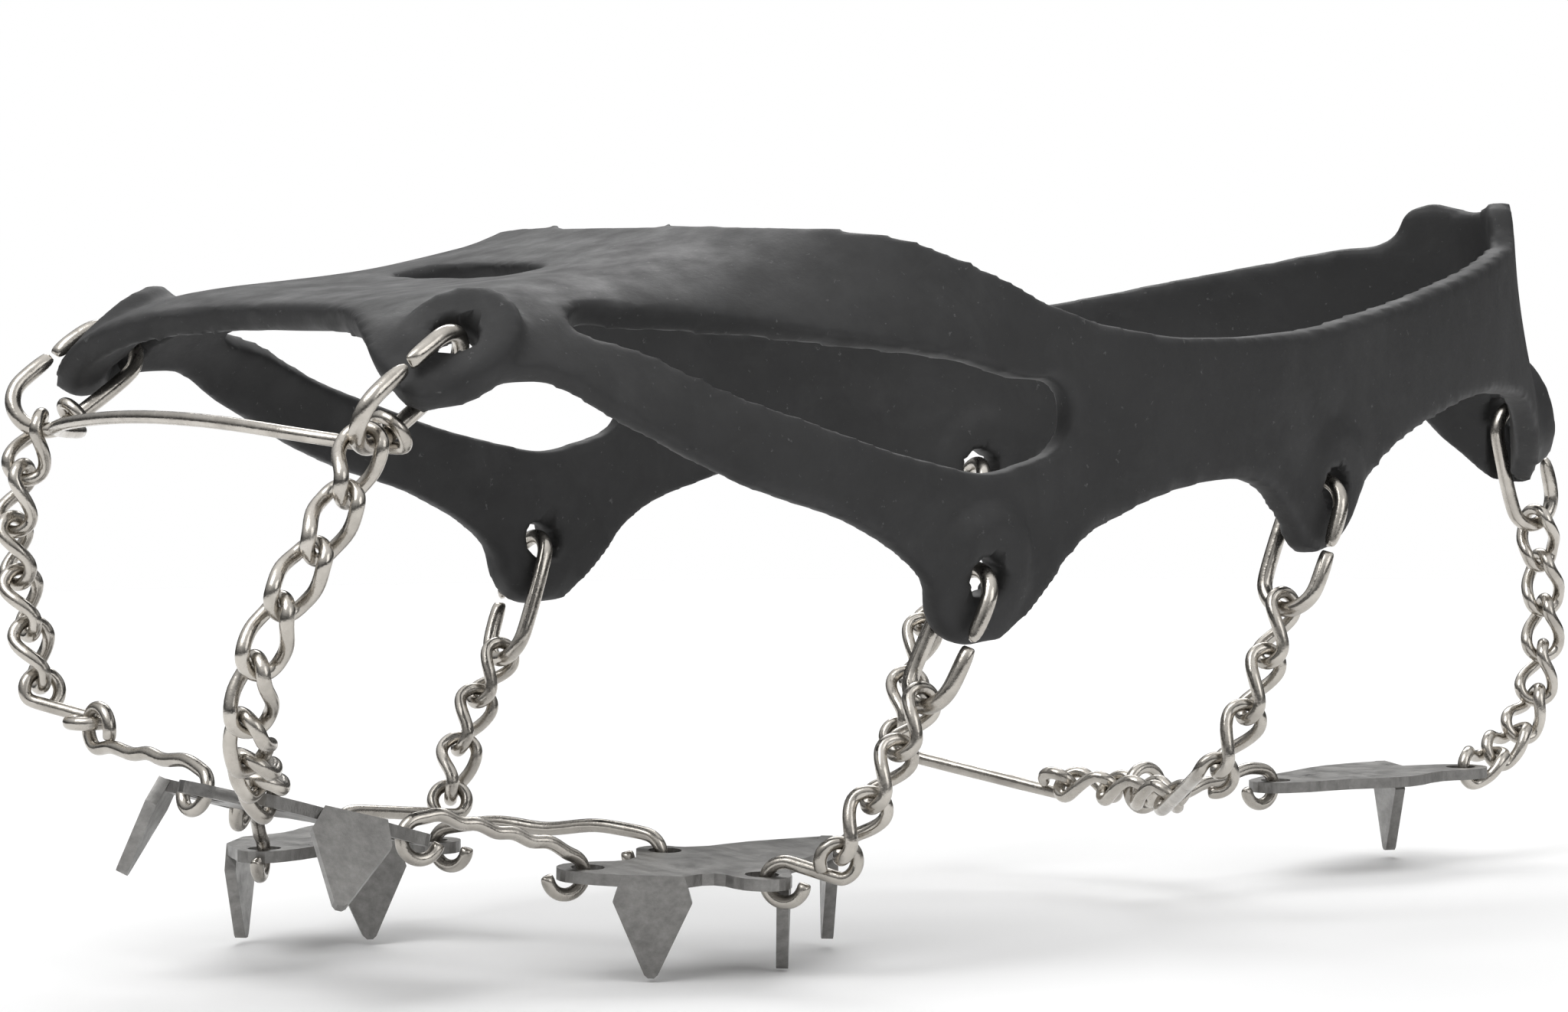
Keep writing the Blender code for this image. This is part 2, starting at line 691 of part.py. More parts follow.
TOE_PLATE = Plate("spike_plate_toe", spot(5.0, 49.5, 23.2), (math.radians(-16), 0.0), [
    ("lobe_chain", 14.6, -9.2, turn_of(0.5, -1)),
    ("spike_left", 19.6, 0.6, turn_of(0.9, -0.44), math.radians(28)),
    ("lobe_left", 14.6, 10.6, turn_of(0.35, 1)),
    ("waist", 1.5, 5.0),
    ("lobe_right", -15.2, 3.6, turn_of(-1, 0.9)),
    ("spike_right", -16.0, -7.6, turn_of(-0.62, -0.78), math.radians(14)),
    ("waist", -8.6, -3.0),
    ("lobe_wire", -3.2, -7.8, turn_of(-0.8, -0.6)),
    ("waist", 6.5, -6.0),
])
LEFT_PLATE = Plate("spike_plate_ball_left", spot(30.6, 98.3, 12.9), (0.0, math.radians(3)), [
    ("lobe_front", -8.0, -11.4, turn_of(-0.6, -1)),
    ("spike_front", 1.6, -7.6, turn_of(0.81, -0.59)),
    ("waist", 4.0, 0.5),
    ("lobe_outer", 7.6, 5.6, turn_of(1, 0.1)),
    ("spike_outer", 4.4, 12.6, turn_of(0.62, 0.79)),
    ("waist", -2.6, 22.5),
    ("spike_rear", -10.6, 31.2, turn_of(0.52, 0.86)),
    ("waist", -15.4, 20.0),
    ("lobe_inner", -14.6, 5.6, turn_of(-1, 0.0)),
    ("waist", -10.5, -3.0),
])
RIGHT_PLATE = Plate("spike_plate_ball_right", spot(-30.0, 77.5, 13.1), (0.0, 0.0), [
    ("lobe_front", 5.2, -11.8, turn_of(0.7, -1)),
    ("waist", 6.8, -3.0),
    ("spike_left", 7.6, 3.4, turn_of(0.92, -0.4)),
    ("lobe_cross", 11.6, 11.0, turn_of(1, 0.6)),
    ("waist", 1.0, 9.5),
    ("lobe_outer", -10.6, 9.0, turn_of(-1, 0.7)),
    ("waist", -9.5, 0.0),
    ("spike_right", -6.0, -10.0, turn_of(-0.72, -0.69)),
])
HEEL_PLATE = Plate("spike_plate_heel", spot(-1.0, 244.5, 13.4), (0.0, 0.0), [
    ("lobe_front", 1.0, -16.5, turn_of(0, -1)),
    ("waist", 7.0, -7.0),
    ("waist", 10.0, 3.0),
    ("waist", 7.5, 12.0),
    ("lobe_rear", 4.6, 18.6, turn_of(0.3, 1)),
    ("spike_rear", -6.2, 14.6, turn_of(0.4, 0.92)),
    ("waist", -10.5, 4.0),
    ("waist", -7.0, -7.0),
])
PLATES = [TOE_PLATE, LEFT_PLATE, RIGHT_PLATE, HEEL_PLATE]


# ---------------------------------------------------------------- hooked wires
def curl(centre, from_centre, axis, sweep, steps):
    """Points of an arc about a centre, beginning at centre + from_centre."""
    return [centre + Matrix.Rotation(sweep * k / steps, 3, axis) @ from_centre for k in range(steps + 1)]


def plate_hook(plate, key, toward):
    """A hook up through a lobe's hole and over its rim: the cut end first, the start of the shank last."""
    rim, side = plate.rim(key, toward)
    axis = side.cross(plate.way(0, 0, 1))
    return curl(rim, side * HOOK_RADIUS, axis, -math.radians(270), 9), rim


def open_eye(contact, away, tangent, leave, radius=EYE_RADIUS):
    """An eye round a wire that runs along tangent, from its cut end to where its shank leaves."""
    axis = tangent.normalized()
    leave = (leave - leave.dot(axis) * axis).normalized()
    centre = contact + away.normalized() * (radius - (HOOK_WIRE + GAP) / 2)
    last = leave.cross(axis) * radius
    if last.dot(away) < 0:
        last, axis = -last, -axis
    first = Matrix.Rotation(-EYE_TURN, 3, axis) @ last
    return curl(centre, first, axis, EYE_TURN, 9)


def wavy(start, end, lift, waves, steps=6):
    """Points between two places, waving along lift."""
    return [start.lerp(end, k / steps) + lift * (1 - math.cos(2 * math.pi * waves * k / steps)) / 2
            for k in range(1, steps)]


def plate_to_plate(name, plate_a, key_a, plate_b, key_b, lift, waves):
    way = plate_b.place(*plate_b.lobe(key_b)) - plate_a.place(*plate_a.lobe(key_a))
    a, rim = plate_hook(plate_a, key_a, way)
    b, far = plate_hook(plate_b, key_b, -way)
    world_wire(name, a + wavy(a[-1], b[-1], UP * lift, waves, 8) + b[::-1], HOOK_WIRE, rim, far)


def eye_to_plate(name, held, plate, key, lift=0.0, waves=1, radius=EYE_RADIUS):
    """From a held wire (contact, away, tangent) to a lobe."""
    contact, away, tangent = held
    way = plate.place(*plate.lobe(key)) - contact
    hook, far = plate_hook(plate, key, -way)
    eye = open_eye(contact, away, tangent, hook[-1] - contact, radius)
    world_wire(name, eye + wavy(eye[-1], hook[-1], UP * lift, waves, 8) + hook[::-1], HOOK_WIRE, contact, far)


def eye_to_eye(name, held_a, held_b):
    a = open_eye(*held_a, held_b[0] - held_a[0])
    b = open_eye(*held_b, held_a[0] - held_b[0])
    world_wire(name, a + wavy(a[-1], b[-1], UP, 0) + b[::-1], HOOK_WIRE, held_a[0], held_b[0])


# ---------------------------------------------------------------- assembly
UP = Vector((0, 0, 1))
SIDE_LEFT, SIDE_RIGHT = 1, -1
ARCH_PITCH, ARCH_SAG = 8.0, 2.0
ARCH_Y, ARCH_Z = 198.6, 14.8


def flip(p, side):
    return Vector((p.x * side, p.y, p.z))


def into_plate(plate, key, toward):
    """Where the last link of a chain ends when it passes through a lobe's hole and comes from a direction."""
    hole = plate.place(*plate.lobe(key))
    _, side = plate.rim(key, toward)
    return hole + side * (LOBE_HOLE - LINK_SLACK - CHAIN_WIRE / 2 + (CHAIN_WIRE + GAP) / 2)


def make_toe_chains():
    start = hang_point("fl", spot(44.2, 35.6, 62.5))
    end = into_plate(TOE_PLATE, "lobe_chain", Vector((0.9, -0.6, 0)))
    route = [start, spot(44.2, 35.6, 62.5), spot(41.4, 27.6, 48.5), spot(35.2, 28.6, 35.0), end]
    make_chain("chain_toe_left", route, 8, square_to("fl", route), -TOE_PLATE.way(0, 0, 1), QUARTER)
    start = hang_point("fr", spot(-43.6, 38.0, 58.0))
    meet = spot(-28.5, 41.5, 32.0)
    route = [start, spot(-43.6, 38.0, 58.0), spot(-38.5, 39.0, 37.5)]
    held = make_chain("chain_toe_right", route, 5, square_to("fr", route), Vector((-0.7, -0.5, -0.3)))
    across = Vector((0, 0, 1))
    way = (TOE_PLATE.place(*TOE_PLATE.lobe("lobe_wire")) - meet).normalized()
    eye_to_eye("connector_toe_right", held, (meet, -way, across))
    eye_to_plate("wire_toe_cross", (meet, way, across.cross(way)), TOE_PLATE, "lobe_wire", 1.2, 3, EYE_RADIUS + 0.4)


def make_ball_chain(side, letter, plate):
    _, start = eyelet("m" + letter)
    word = {"l": "left", "r": "right"}[letter]
    route = [start, flip(spot(50.4, 115.0, 26.0), side), flip(spot(47.5, 110.4, 16.6), side)]
    held = make_chain("chain_ball_" + word, route, 3, flip(Vector((1, 0, 0)), side), flip(Vector((1, 0, -0.4)), side))
    eye_to_plate("connector_ball_" + word, held, plate, "lobe_outer")


def make_rear_chain(side, letter):
    _, start = eyelet("r" + letter)
    word = {"l": "left", "r": "right"}[letter]
    route = [start, flip(spot(39.4, 189.0, 32.0), side), flip(spot(36.8, 184.8, 22.0), side)]
    held = make_chain("chain_arch_" + word, route, 3, flip(Vector((1, 0, 0)), side), flip(Vector((1, 0, -0.4)), side))
    places = arch_places()
    first, last = (places[0], places[1]) if side == SIDE_LEFT else (places[-1], places[-2])
    run = end_way(places[0], places[1], UP, 0, -1) if side == SIDE_LEFT else end_way(places[-2], places[-1], UP, 0, 1)
    eye_to_eye("connector_arch_" + word, held, (first, (first - last).normalized(), run))


def arch_places():
    half = ARCH_PITCH / 2
    outer = half + math.sqrt(ARCH_PITCH ** 2 - ARCH_SAG ** 2)
    return [spot(x, ARCH_Y - (ARCH_SAG if abs(x) > half else 0), ARCH_Z) for x in (outer, half, -half, -outer)]


def make_arch():
    """Three links across the arch; the wire to the heel plate hangs on the middle one."""
    places = arch_places()
    for k in range(3):
        chain_link(f"chain_arch_{k + 1}", places[k], places[k + 1], UP)
    middle = places[1].lerp(places[2], 0.5)
    back = Vector((0, 1, 0))
    contact = middle + back * (CHAIN_WIDTH / 2 - (CHAIN_WIRE + GAP) / 2 - 0.1)
    eye_to_plate("wire_heel", (contact, back, Vector((1, 0, 0))), HEEL_PLATE, "lobe_front", 1.0, 3, EYE_RADIUS + 0.6)


def make_heel_chain():
    _, start = eyelet("heel")
    end = into_plate(HEEL_PLATE, "lobe_rear", Vector((0.0, 1, 0)))
    route = [start, spot(0, 284.8, 37.5), spot(0.4, 282.4, 24.5), spot(1.6, 276.0, 17.4), end]
    make_chain("chain_heel", route, 7, Vector((0, 1, 0)), Vector((0, 0.2, -1)), QUARTER)


def make_toe_bail():
    """A round wire over the toe, an eye at each end round the inner leg of an eyelet link."""
    ends = []
    for key, side in (("fl", SIDE_LEFT), ("fr", SIDE_RIGHT)):
        frame, _ = eyelet(key)
        leg = frame @ Vector((0, BAIL_DROP, -EYELET_LINK_WIDTH / 2))
        axis = frame.to_3x3().col[1].copy()
        inward = -frame.to_3x3().col[2]
        leave = (Vector((-side, 0, 0)) + inward * 0.0)
        leave = (leave - leave.dot(axis) * axis).normalized()
        last = leave.cross(axis) * BAIL_EYE_RADIUS
        if last.dot(inward) < 0:
            last, axis = -last, -axis
        first = Matrix.Rotation(-EYE_TURN, 3, axis) @ last
        ends.append((leg, curl(leg, first, axis, EYE_TURN, 9)))
    (leg_a, a), (leg_b, b) = ends
    sweep = [spot(33, 37.6, 72.6), spot(24, 35.4, 73.6), spot(12, 34.2, 74.2), spot(0, 33.8, 74.3),
             spot(-12, 34.2, 73.8), spot(-24, 35.4, 72.8), spot(-33, 37.6, 71.6)]
    world_wire("toe_bail", a + sweep + b[::-1], BAIL_WIRE, leg_b, leg_a)


set_pulls()
make_harness()
for key in BOSSES:
    eyelet_link(key)
make_toe_chains()
make_ball_chain(SIDE_LEFT, "l", LEFT_PLATE)
make_ball_chain(SIDE_RIGHT, "r", RIGHT_PLATE)
make_rear_chain(SIDE_LEFT, "l")
make_rear_chain(SIDE_RIGHT, "r")
make_arch()
make_heel_chain()
make_toe_bail()
for plate in PLATES:
    plate.build()
plate_to_plate("wire_toe_left", TOE_PLATE, "lobe_left", LEFT_PLATE, "lobe_front", 1.4, 4)
plate_to_plate("wire_toe_right", TOE_PLATE, "lobe_right", RIGHT_PLATE, "lobe_front", 0.6, 2)
plate_to_plate("wire_ball_cross", RIGHT_PLATE, "lobe_cross", LEFT_PLATE, "lobe_inner", 1.0, 2)
for thing in list(CUTTERS.objects):
    bpy.data.objects.remove(thing, do_unlink=True)
bpy.data.collections.remove(CUTTERS)
bpy.context.view_layer.update()
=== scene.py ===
"""The looks of the microspikes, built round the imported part: rubber harness, nickel wire and steel plates."""

import json
import math

import bmesh
import bpy
from mathutils import Matrix, Vector

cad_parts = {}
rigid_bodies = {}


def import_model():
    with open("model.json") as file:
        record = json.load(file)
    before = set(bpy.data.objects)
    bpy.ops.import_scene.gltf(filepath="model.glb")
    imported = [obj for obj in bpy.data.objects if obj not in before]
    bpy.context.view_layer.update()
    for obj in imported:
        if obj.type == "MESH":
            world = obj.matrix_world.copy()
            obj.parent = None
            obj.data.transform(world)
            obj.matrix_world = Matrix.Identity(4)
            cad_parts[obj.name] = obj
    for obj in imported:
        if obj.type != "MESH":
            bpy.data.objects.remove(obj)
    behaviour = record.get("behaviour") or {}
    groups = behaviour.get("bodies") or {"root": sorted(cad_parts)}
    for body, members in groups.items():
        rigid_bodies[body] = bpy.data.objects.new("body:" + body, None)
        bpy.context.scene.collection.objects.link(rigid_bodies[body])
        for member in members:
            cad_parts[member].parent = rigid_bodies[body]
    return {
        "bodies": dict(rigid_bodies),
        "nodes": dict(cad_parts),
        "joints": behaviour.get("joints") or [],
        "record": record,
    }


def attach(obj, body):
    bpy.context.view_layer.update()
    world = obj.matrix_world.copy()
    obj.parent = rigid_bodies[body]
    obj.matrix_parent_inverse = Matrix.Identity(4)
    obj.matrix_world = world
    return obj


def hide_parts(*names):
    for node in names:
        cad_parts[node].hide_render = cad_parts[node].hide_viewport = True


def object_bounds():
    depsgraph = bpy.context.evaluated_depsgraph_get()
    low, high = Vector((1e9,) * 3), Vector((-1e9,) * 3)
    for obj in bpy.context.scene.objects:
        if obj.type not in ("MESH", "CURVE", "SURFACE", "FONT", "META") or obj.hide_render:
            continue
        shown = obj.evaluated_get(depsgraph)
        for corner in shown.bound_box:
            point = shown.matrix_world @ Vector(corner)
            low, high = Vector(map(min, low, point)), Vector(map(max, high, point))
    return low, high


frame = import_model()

CAD_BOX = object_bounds()
NODES = frame["nodes"]
MM = 0.001


# ---------------------------------------------------------------- sizes, in millimetres
SEAT_Y, SEAT_Z = 145.0, 15.0        # where the origin lies on the sole
# The shoe that the harness is stretched over
SHOE_TIP_Y = 15.0                   # front end of the upper
SHOE_HEEL_Y = 268.0                 # back end of the upper
WIDEST_Y = 125.0
HALF_WIDTH = 51.5                   # at the ball of the foot
WIDEST_Z = 45.0
TOP_LINE = [(15, 60), (35, 72.5), (47, 80.8), (55, 84.6), (63, 86.0), (72, 86.6), (80, 87.4), (90, 90.0),
            (100, 92.8), (110, 94.6), (122, 102), (145, 120), (180, 150), (274, 150)]
TOE_POWER, HEEL_POWER, SECTION_POWER = 2.6, 1.7, 4.0

# Harness
BAND_THICK = 4.0
BOSS_THICK = 5.6
BOSS_HALF_WIDTH = 7.4
BOSS_HALF_LENGTH = 9.6
EYELET_RADIUS = 2.7
LINK_ROOM_HALF = 2.6                # room cut in the band for an eyelet link's legs
LINK_ROOM_REACH = 13.0
LINK_ROOM_DROP = 7.0
LINK_ROOM_DEEP = 6.0
BOSS_SINK = 2.6                     # middle of the boss above the band's inner face
PULL_LENGTH, PULL_WIDTH = 16.0, 16.0  # how far round a boss the band is drawn off the shoe
PULL_TIP = 5.0                      # the band stands furthest off this far beyond the boss

EYELET_LINK_REACH = 17.4

# The finer harness that is shown
FINE_STEP = 3.0                     # between the cuts of the flat pattern
FINE_MERGE = 0.25                   # corners of the pattern nearer than this become one
SKIN = 0.1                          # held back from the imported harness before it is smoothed
VOXEL = 0.9
PAD_RIM = 1.3                       # how far a pad's face drops at its rim
PAD_SIDES = 48
HOLE_ROOM, POCKET_ROOM = 0.15, 0.2  # added to the eyelet's radius and to half its pocket's width

# The wires are swollen to make up for what smoothing takes off them
CHAIN_SWELL, EYELET_SWELL, WIRE_SWELL = 0.11, 0.12, 0.11
PLATE_EDGE = 0.22                   # rounding along the edges of the stampings
BROAD_FACE = 14e-6                  # square metres, a face this large is a side of the plate or of a spike


def spot(x, y, z):
    """A place on the object, in millimetres about the origin."""
    return Vector((x, y - SEAT_Y, z - SEAT_Z))


def frame_at(origin, across, along):
    """Local Y runs along, local X as near to across as it can, local Z is what is left."""
    y = along.normalized()
    x = (across - across.dot(y) * y).normalized()
    m = Matrix((x, y, x.cross(y))).transposed().to_4x4()
    m.translation = origin
    return m


# ---------------------------------------------------------------- the shoe's shape, which the harness follows
def between(table, at):
    for (a, va), (b, vb) in zip(table, table[1:]):
        if at <= b:
            t = max(0.0, (at - a) / (b - a))
            return va + (vb - va) * t
    return table[-1][1]


def shoe_half_width(y):
    if y < WIDEST_Y:
        q, power = (WIDEST_Y - y) / (WIDEST_Y - SHOE_TIP_Y), TOE_POWER
    else:
        q, power = (y - WIDEST_Y) / (SHOE_HEEL_Y - WIDEST_Y), HEEL_POWER
    return HALF_WIDTH * (1 - min(q, 1.0) ** power) ** (1 / power)


def shoe_top(y):
    return sum(between(TOP_LINE, y + d) for d in (-8, -4, 0, 4, 8)) / 5


def outside(x, y, z):
    half = shoe_half_width(y)
    if half < 0.01:
        return True
    rise = abs(z - WIDEST_Z) / (shoe_top(y) - WIDEST_Z)
    return (abs(x) / half) ** SECTION_POWER + rise ** SECTION_POWER > 1


BOSSES = {"fl": (42.5, 54.7, 83.3), "fr": (-42.5, 54.7, 83.3),
          "ml": (52.8, 128.5, 52.2), "mr": (-52.8, 128.5, 52.2),
          "rl": (39.4, 201.5, 61.2), "rr": (-39.4, 201.5, 61.2), "heel": (0, 277.8, 69.0)}
PULLS = []
CENTRE = Vector((0, 140.0, WIDEST_Z))
SPREAD = 1.3                        # pattern millimetres for each degree away from straight up


def to_pattern(x, y, z):
    """The flat pattern's point that looks from the middle of the shoe towards a place."""
    d = Vector((x, y, z)) - CENTRE
    away = 90 - math.degrees(math.atan2(d.z, math.hypot(d.x, d.y)))
    turn = math.atan2(d.x, -d.y)
    return Vector((SPREAD * away * math.sin(turn), -SPREAD * away * math.cos(turn)))


def from_pattern(u, v):
    away = math.radians(math.hypot(u, v) / SPREAD)
    turn = math.atan2(u, -v)
    ray = Vector((math.sin(away) * math.sin(turn), -math.sin(away) * math.cos(turn), math.cos(away)))
    near, far = 5.0, 200.0
    for _ in range(24):
        mid = (near + far) / 2
        if outside(*(CENTRE + ray * mid)):
            far = mid
        else:
            near = mid
    return CENTRE + ray * (near + drawn_off(u, v))


def drawn_off(u, v):
    """How far the bosses draw the band off the shoe at a point of the pattern."""
    total = 0.0
    for boss, amount, scale in PULLS:
        away = boss.length
        along = ((u * boss.x + v * boss.y) / away - away) / scale - PULL_TIP
        across = (u * boss.y - v * boss.x) / away / scale
        total += amount * math.exp(-(along / PULL_LENGTH) ** 2 / 2 - (across / PULL_WIDTH) ** 2 / 2)
    return total


def surface_frame(u, v):
    """A place on the band and the way out of it."""
    here = from_pattern(u, v)
    d = 1.2
    du = from_pattern(u + d, v) - from_pattern(u - d, v)
    dv = from_pattern(u, v + d) - from_pattern(u, v - d)
    out = du.cross(dv).normalized()
    if out.dot(here - CENTRE) < 0:
        out.negate()
    return here, out


def mirrored(points):
    return [Vector((-p.x, p.y)) for p in reversed(points)]


# The left half of each outline, from the toe round to the heel
LOWER_EDGE = [to_pattern(*p) for p in (
    (0, 55, 85.6), (18, 53, 85.0), (33, 47.6, 82.2), (39.5, 46.0, 78.6), (43, 51, 74.5), (43.6, 60, 76.5),
    (44.5, 67, 77.2), (47, 76, 72.6), (50, 92, 65.0), (51.5, 109, 59.2), (52, 118, 53.5), (52.5, 122.5, 47.5),
    (53, 129.5, 43.2), (52.5, 137, 47.5), (51, 145, 55.5), (49, 156, 60.0), (46, 169, 62.4), (42, 183, 61.2),
    (40.3, 191, 57.0), (39.4, 199.5, 51.8), (38, 208, 57.5), (35, 213.5, 64.2), (28, 228.5, 70.0),
    (18, 247, 71.2), (11, 261, 69.4), (7, 272, 63.5), (0, 281, 58.6))]
UPPER_EDGE = [to_pattern(*p) for p in (
    (0, 107, 97), (16, 107.5, 97), (30, 111, 96), (41, 122, 94), (47.5, 134, 90), (49, 145, 86),
    (47.5, 157, 82.9),
    (45, 171, 81.4), (40, 188, 81.2), (36, 201, 82.5), (28, 226, 87), (15, 252, 92.6), (10.5, 260, 95.2),
    (9, 264.5, 100.6), (0, 273, 102.0))]
SIDE_OPENING = [to_pattern(*p) for p in (
    (41, 71.0, 84.6), (43, 81, 86.6), (46, 91, 86.4), (49, 110, 83.2), (51, 133, 78.8), (51, 144, 73.6),
    (52, 134, 66.8), (52, 121, 67.6), (50, 98, 73.8), (46, 79, 80.6))]
TOP_SLOT = [to_pattern(*p) for p in (
    (0, 79.2, 89.4), (9, 79.6, 89.3), (15.6, 83.4, 89.4), (9, 87.4, 90.4), (0, 88.0, 90.8))]


# Where each chain starts to hang
FIRST_LINKS = {
    "fl": spot(43.6, 41.4, 74.0), "fr": spot(-43.6, 41.4, 74.0), "ml": spot(50.5, 121.6, 36.6),
    "mr": spot(-50.5, 121.6, 36.6), "rl": spot(39.0, 194.2, 43.2), "rr": spot(-39.0, 194.2, 43.2),
    "heel": spot(0, 283.5, 50.2),
}


def set_pulls():
    """The band is drawn off the shoe until its bosses are where the chains hold them."""
    for boss in BOSSES.values():
        place = to_pattern(*boss)
        away = (Vector(boss) - CENTRE).length
        amount = away - BOSS_SINK - (from_pattern(place.x, place.y) - CENTRE).length
        at_tip = amount * math.exp((PULL_TIP / PULL_LENGTH) ** 2 / 2)
        PULLS.append((place, at_tip, SPREAD * math.degrees(1) / away))


def eyelet(name):
    """The boss's frame: local Y towards the chain, local Z out of the boss, and its chain's first contact."""
    place = to_pattern(*BOSSES[name])
    _, out = surface_frame(place.x, place.y)
    here = spot(*BOSSES[name])
    along = (FIRST_LINKS[name] - here).normalized()
    out = (out - out.dot(along) * along).normalized()
    frame = frame_at(here, along.cross(out), along)
    return frame, here + along * EYELET_LINK_REACH


# ---------------------------------------------------------------- materials
class Shader:
    """A material with short helpers for its nodes."""

    def __init__(self, name, colour, rough, metal):
        self.mat = bpy.data.materials.new(name)
        self.mat.use_nodes = True
        self.tree = self.mat.node_tree
        self.bsdf = self.tree.nodes["Principled BSDF"]
        self.bsdf.inputs["Base Color"].default_value = (*colour, 1)
        self.bsdf.inputs["Roughness"].default_value = rough
        self.bsdf.inputs["Metallic"].default_value = metal
        self.coord = self.tree.nodes.new("ShaderNodeTexCoord").outputs["Object"]
        self.bumps = None

    def wire(self, a, b):
        self.tree.links.new(a, b)

    def stretched(self, scale):
        node = self.tree.nodes.new("ShaderNodeMapping")
        node.inputs["Scale"].default_value = scale
        self.wire(self.coord, node.inputs["Vector"])
        return node.outputs["Vector"]

    def noise(self, scale, detail=4.0, rough=0.55, vector=None, distort=0.0):
        node = self.tree.nodes.new("ShaderNodeTexNoise")
        node.inputs["Scale"].default_value = scale
        node.inputs["Detail"].default_value = detail
        node.inputs["Roughness"].default_value = rough
        node.inputs["Distortion"].default_value = distort
        self.wire(vector or self.coord, node.inputs["Vector"])
        return node.outputs["Fac"]

    def ramp(self, value, stops):
        node = self.tree.nodes.new("ShaderNodeValToRGB")
        ramp = node.color_ramp
        while len(ramp.elements) < len(stops):
            ramp.elements.new(0.5)
        for element, (at, colour) in zip(ramp.elements, stops):
            element.position = at
            element.color = (*colour, 1) if isinstance(colour, tuple) else (colour, colour, colour, 1)
        self.wire(value, node.inputs["Fac"])
        return node.outputs["Color"]

    def mix(self, fac, a, b, kind="MIX"):
        node = self.tree.nodes.new("ShaderNodeMix")
        node.data_type, node.blend_type = "RGBA", kind
        for socket, value in ((node.inputs[0], fac), (node.inputs[6], a), (node.inputs[7], b)):
            if isinstance(value, (float, tuple)):
                socket.default_value = value
            else:
                self.wire(value, socket)
        return node.outputs[2]

    def spread(self, value, low, high):
        node = self.tree.nodes.new("ShaderNodeMapRange")
        node.inputs["From Min"].default_value, node.inputs["From Max"].default_value = 0.3, 0.7
        node.inputs["To Min"].default_value, node.inputs["To Max"].default_value = low, high
        self.wire(value, node.inputs["Value"])
        return node.outputs["Result"]

    def bump(self, height, strength, distance):
        node = self.tree.nodes.new("ShaderNodeBump")
        node.inputs["Strength"].default_value = strength
        node.inputs["Distance"].default_value = distance
        self.wire(height, node.inputs["Height"])
        if self.bumps:
            self.wire(self.bumps, node.inputs["Normal"])
        self.bumps = node.outputs["Normal"]
        self.wire(self.bumps, self.bsdf.inputs["Normal"])

    def colour(self, value):
        self.wire(value, self.bsdf.inputs["Base Color"])

    def rough(self, value):
        self.wire(value, self.bsdf.inputs["Roughness"])


def rubber():
    s = Shader("moulded_rubber", (0.03, 0.03, 0.031), 0.6, 0.0)
    base = s.ramp(s.noise(38, 5, 0.6), [(0.3, (0.0165, 0.0165, 0.017)), (0.7, (0.027, 0.027, 0.0275))])
    dust = s.ramp(s.noise(900, 3, 0.7), [(0.66, 0.0), (0.74, 0.6)])
    film = s.ramp(s.noise(95, 6, 0.7, distort=0.6), [(0.5, 0.0), (0.82, 0.3)])
    dusted = s.mix(film, base, (0.055, 0.055, 0.056, 1))
    s.colour(s.mix(dust, dusted, (0.11, 0.11, 0.11, 1)))
    s.rough(s.spread(s.noise(160, 5, 0.6), 0.5, 0.72))
    s.bsdf.inputs["Specular IOR Level"].default_value = 0.42
    s.bump(s.noise(60, 3), 0.12, 0.0012)
    s.bump(s.noise(1500, 3, 0.6), 0.16, 0.0002)
    return s.mat


def nickel(name="nickel_wire", tint=1.0):
    s = Shader(name, (0.66 * tint, 0.62 * tint, 0.565 * tint), 0.22, 1.0)
    s.colour(s.ramp(s.noise(210, 5, 0.6), [(0.3, (0.40 * tint, 0.375 * tint, 0.34 * tint)),
                                           (0.55, (0.53 * tint, 0.50 * tint, 0.455 * tint)),
                                           (0.8, (0.63 * tint, 0.60 * tint, 0.555 * tint))]))
    s.rough(s.spread(s.noise(520, 5, 0.65), 0.13, 0.34))
    s.bump(s.noise(420, 4, 0.6), 0.22, 0.00035)
    s.bump(s.noise(2600, 3), 0.10, 0.0001)
    return s.mat


def plate_face():
    s = Shader("satin_steel", (0.46, 0.45, 0.435), 0.36, 1.0)
    rolled = s.noise(90, 6, 0.7, s.stretched((1, 7, 7)))
    s.colour(s.ramp(rolled, [(0.3, (0.19, 0.185, 0.18)), (0.6, (0.28, 0.275, 0.265)),
                             (0.8, (0.36, 0.35, 0.34))]))
    s.rough(s.spread(s.noise(260, 6, 0.7), 0.26, 0.5))
    s.bump(s.noise(140, 5, 0.6), 0.22, 0.0005)
    s.bump(s.noise(1600, 4, 0.6, s.stretched((1, 6, 6))), 0.2, 0.00012)
    return s.mat


def plate_edge():
    s = Shader("sheared_steel_edge", (0.3, 0.295, 0.285), 0.5, 1.0)
    torn = s.noise(700, 6, 0.75, s.stretched((1, 1, 0.35)))
    s.colour(s.ramp(torn, [(0.3, (0.16, 0.155, 0.15)), (0.6, (0.30, 0.295, 0.285)),
                           (0.85, (0.46, 0.45, 0.44))]))
    s.rough(s.spread(torn, 0.4, 0.68))
    s.bump(torn, 0.6, 0.0004)
    return s.mat


RUBBER, NICKEL, NICKEL_DULL = rubber(), nickel(), nickel("nickel_wire_dull", 0.9)
STEEL, STEEL_EDGE = plate_face(), plate_edge()


